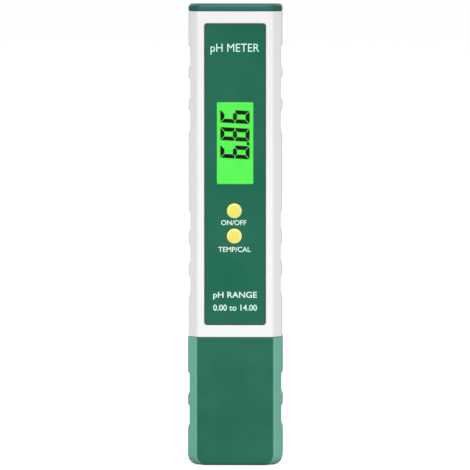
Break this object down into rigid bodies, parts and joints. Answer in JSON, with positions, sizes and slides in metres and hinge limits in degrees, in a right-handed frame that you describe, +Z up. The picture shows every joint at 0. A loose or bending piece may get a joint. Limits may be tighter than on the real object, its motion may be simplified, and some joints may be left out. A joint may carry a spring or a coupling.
{
  "type": "ph meter",
  "caption": "Pen-type pH meter: slim chamfered case with a display window and push buttons, a pull-off cap over the electrode and a battery drawer in the top.",
  "frame": {"origin": "centre of the flat base of the protective cap, which the meter stands on", "axes": "+Z up the length of the pen towards the battery cap; -Y is the display side; +X to the right as the display is seen"},
  "size_m": [0.0316, 0.0176, 0.1538],
  "materials": {
    "case_white": "satin white moulded plastic",
    "cap_green": "satin dark green moulded plastic",
    "film_green": "printed dark green overlay film",
    "button_yellow": "soft yellow keys",
    "lens_clear": "clear acrylic lens",
    "lcd_green": "backlit green display",
    "light_guide": "frosted light guide",
    "plastic_black": "matte black plastic",
    "plastic_white": "matte off-white plastic",
    "rubber_black": "soft silicone rubber",
    "board_green": "solder mask on glass-epoxy board",
    "capacitor_tan": "tantalum capacitor body",
    "steel": "stainless steel",
    "brass": "plated spring brass",
    "ceramic_junction": "porous junction",
    "electrode_glass": "thin electrode glass",
    "silver_wire": "chloride-coated silver wire",
    "wire_red": "insulated wire",
    "wire_grey": "insulated wire",
    "sponge_yellow": "open-cell storage sponge"
  },
  "bodies": {
    "housing": {"front_shell": "case_white", "rear_shell": "case_white", "faceplate": "film_green", "display_window": "lens_clear", "display_frame": "plastic_black", "lcd_glass": "lcd_green", "light_guide": "light_guide", "backlight_led": "plastic_white", "zebra_strip": "rubber_black", "main_board": "board_green", "microcontroller": "plastic_black", "amplifier_chip": "plastic_black", "memory_chip": "plastic_black", "crystal": "steel", "filter_capacitor": "capacitor_tan", "power_switch_body": "plastic_black", "power_switch_dome": "steel", "calibration_switch_body": "plastic_black", "calibration_switch_dome": "steel", "board_screw_1": "steel", "board_screw_2": "steel", "board_screw_3": "steel", "board_screw_4": "steel", "battery_contact_negative": "brass", "battery_contact_positive": "brass", "electrode_holder": "plastic_white", "cap_seal": "rubber_black", "probe_sleeve": "plastic_black", "reference_junction": "ceramic_junction", "glass_electrode": "electrode_glass", "inner_electrode_wire": "silver_wire", "reference_electrode_wire": "silver_wire", "temperature_probe": "steel", "electrode_lead": "wire_red", "sensor_lead": "wire_grey"},
    "power_key": {"power_button": "button_yellow", "power_switch_plunger": "plastic_white"},
    "calibration_key": {"calibration_button": "button_yellow", "calibration_switch_plunger": "plastic_white"},
    "battery_drawer": {"battery_cap": "cap_green", "battery_seal": "rubber_black", "battery_tray": "plastic_black", "battery_cell_1": "steel", "battery_cell_2": "steel", "battery_cell_3": "steel", "battery_cell_4": "steel"},
    "cap": {"protective_cap": "cap_green", "storage_sponge": "sponge_yellow"}
  },
  "joints": [
    {"name": "power_button_press", "type": "slide", "parent": "housing", "child": "power_key", "axis": [0, 1, 0], "range_m": [0, 0.0005], "stiffness_N_per_m": 400, "springref_m": -0.002},
    {"name": "calibration_button_press", "type": "slide", "parent": "housing", "child": "calibration_key", "axis": [0, 1, 0], "range_m": [0, 0.0005], "stiffness_N_per_m": 400, "springref_m": -0.002},
    {"name": "battery_drawer_slide", "type": "slide", "parent": "housing", "child": "battery_drawer", "axis": [0, 0, 1], "range_m": [0, 0.018]},
    {"name": "cap_slide", "type": "slide", "parent": "cap", "child": "housing", "axis": [0, 0, 1], "range_m": [0, 0.045]}
  ]
}
